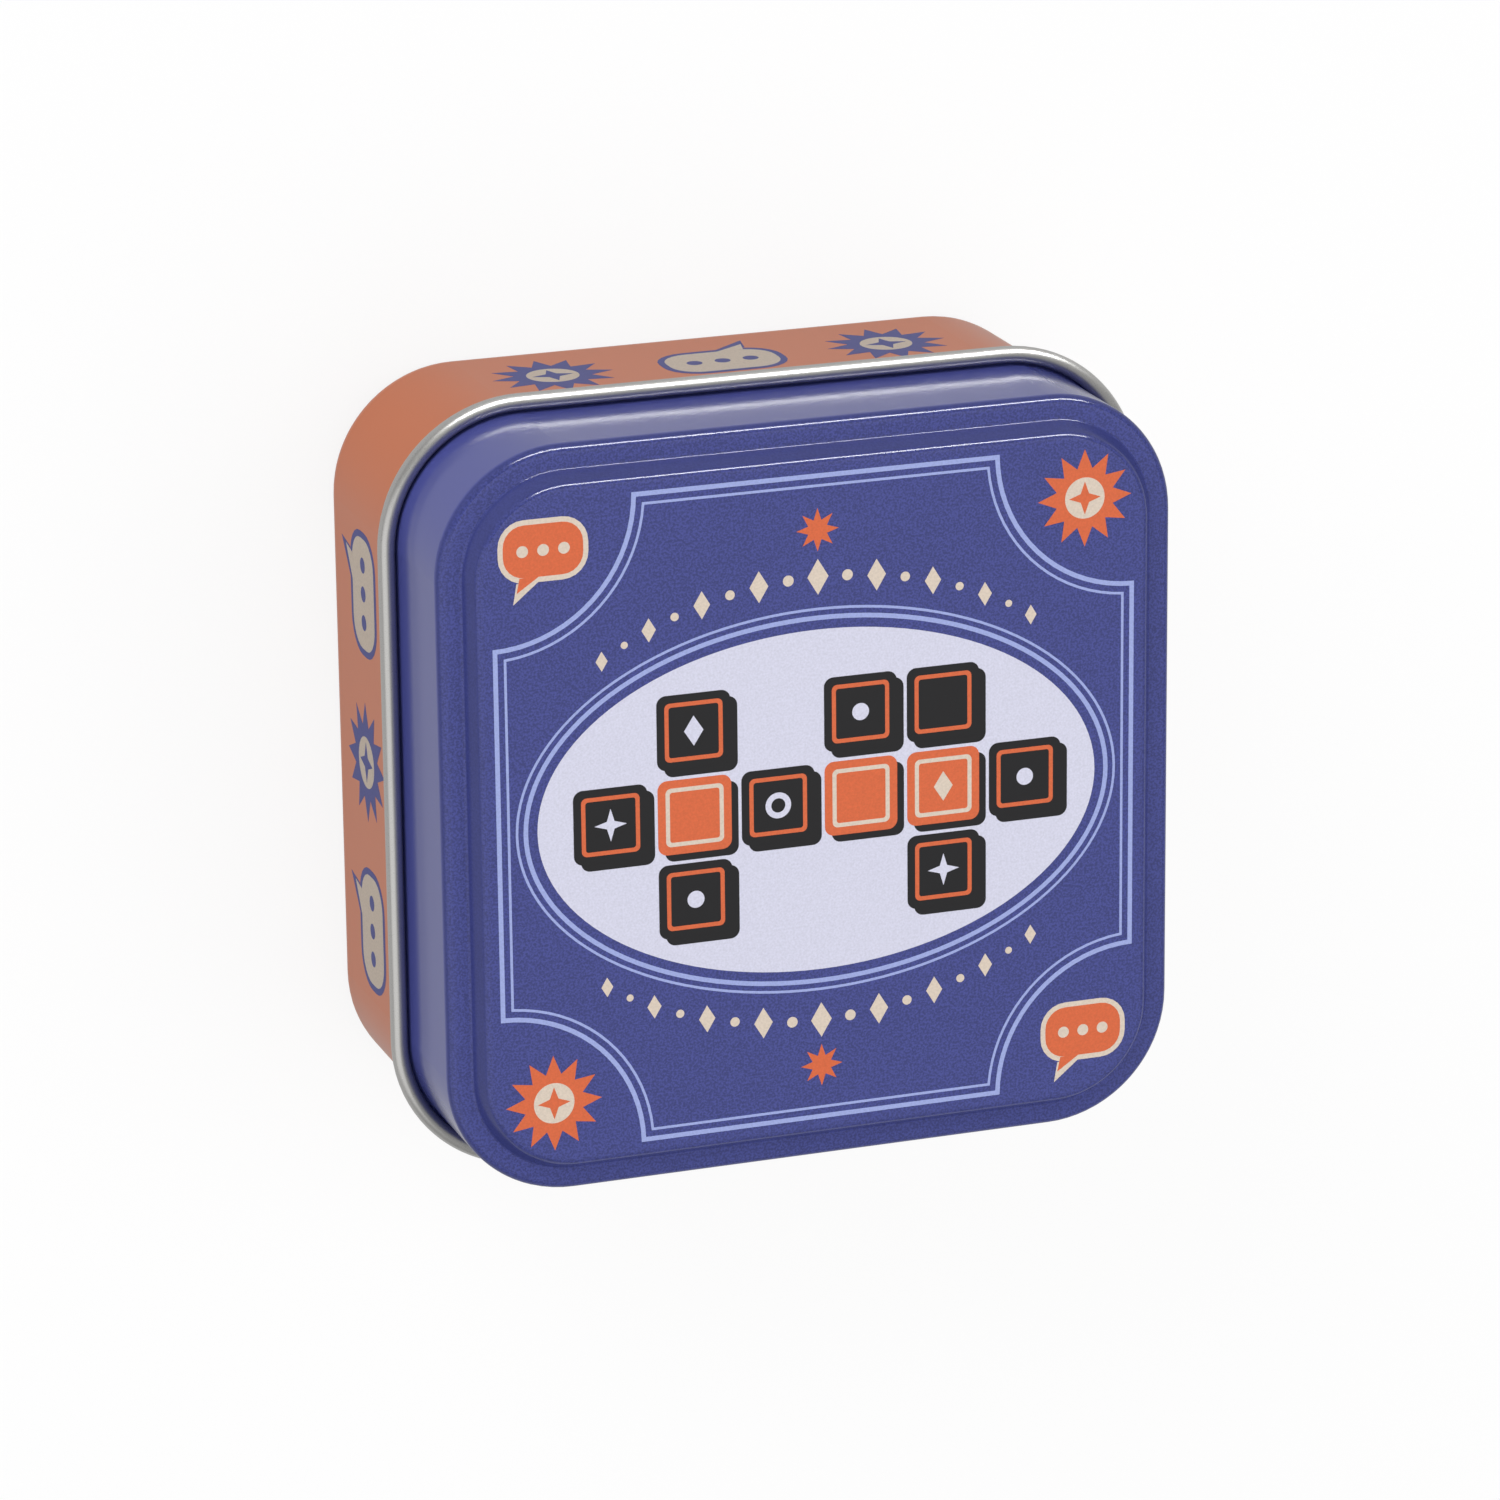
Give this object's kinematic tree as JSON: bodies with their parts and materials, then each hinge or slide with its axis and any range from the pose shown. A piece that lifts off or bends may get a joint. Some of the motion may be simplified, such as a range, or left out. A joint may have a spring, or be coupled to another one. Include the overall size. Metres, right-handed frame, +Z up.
{
  "type": "word game tin",
  "caption": "Square round-cornered tin for a word game: a lift-off lid with a raised panel and a rolled edge, over a necked body that holds a deck of square cards and a folded rules leaflet.",
  "frame": {"origin": "middle of the underside of the base, on which the tin lies", "axes": "+Z up through the lid, +Y towards the upper edge of the lid's print, +X towards its right edge"},
  "size_m": [0.084, 0.084, 0.042],
  "materials": {
    "orange_tinplate": "printed satin orange outside, bare tinplate inside",
    "blue_tinplate": "printed satin blue outside, bare tinplate inside and on the rolled edge",
    "playing_card": "printed and coated on both faces, white board on the cut edges",
    "leaflet_paper": "uncoated matt"
  },
  "bodies": {
    "tin": {"tin_body": "orange_tinplate"},
    "deck": {"card_01": "playing_card", "card_02": "playing_card", "card_03": "playing_card", "card_04": "playing_card", "card_05": "playing_card", "card_06": "playing_card", "card_07": "playing_card", "card_08": "playing_card", "card_09": "playing_card", "card_10": "playing_card", "card_11": "playing_card", "card_12": "playing_card", "card_13": "playing_card", "card_14": "playing_card", "card_15": "playing_card", "card_16": "playing_card", "card_17": "playing_card", "card_18": "playing_card", "card_19": "playing_card", "card_20": "playing_card", "card_21": "playing_card", "card_22": "playing_card", "card_23": "playing_card", "card_24": "playing_card", "card_25": "playing_card", "card_26": "playing_card", "card_27": "playing_card", "card_28": "playing_card", "card_29": "playing_card", "card_30": "playing_card", "card_31": "playing_card", "card_32": "playing_card", "card_33": "playing_card", "card_34": "playing_card", "card_35": "playing_card", "card_36": "playing_card", "card_37": "playing_card", "card_38": "playing_card", "card_39": "playing_card", "card_40": "playing_card", "card_41": "playing_card", "card_42": "playing_card", "card_43": "playing_card", "card_44": "playing_card", "card_45": "playing_card", "card_46": "playing_card", "card_47": "playing_card", "card_48": "playing_card", "card_49": "playing_card"},
    "top_card": {"card_50": "playing_card"},
    "leaflet": {"rules_leaflet": "leaflet_paper"},
    "cover": {"lid": "blue_tinplate"}
  },
  "joints": [
    {"name": "deck_lift", "type": "slide", "parent": "tin", "child": "deck", "axis": [0, 0, 1], "range_m": [0, 0.045]},
    {"name": "top_card_lift", "type": "slide", "parent": "deck", "child": "top_card", "axis": [0, 0, 1], "range_m": [0, 0.04]},
    {"name": "leaflet_lift", "type": "slide", "parent": "top_card", "child": "leaflet", "axis": [0, 0, 1], "range_m": [0, 0.04]},
    {"name": "lid_lift", "type": "slide", "parent": "leaflet", "child": "cover", "axis": [0, 0, 1], "range_m": [0, 0.07]}
  ]
}
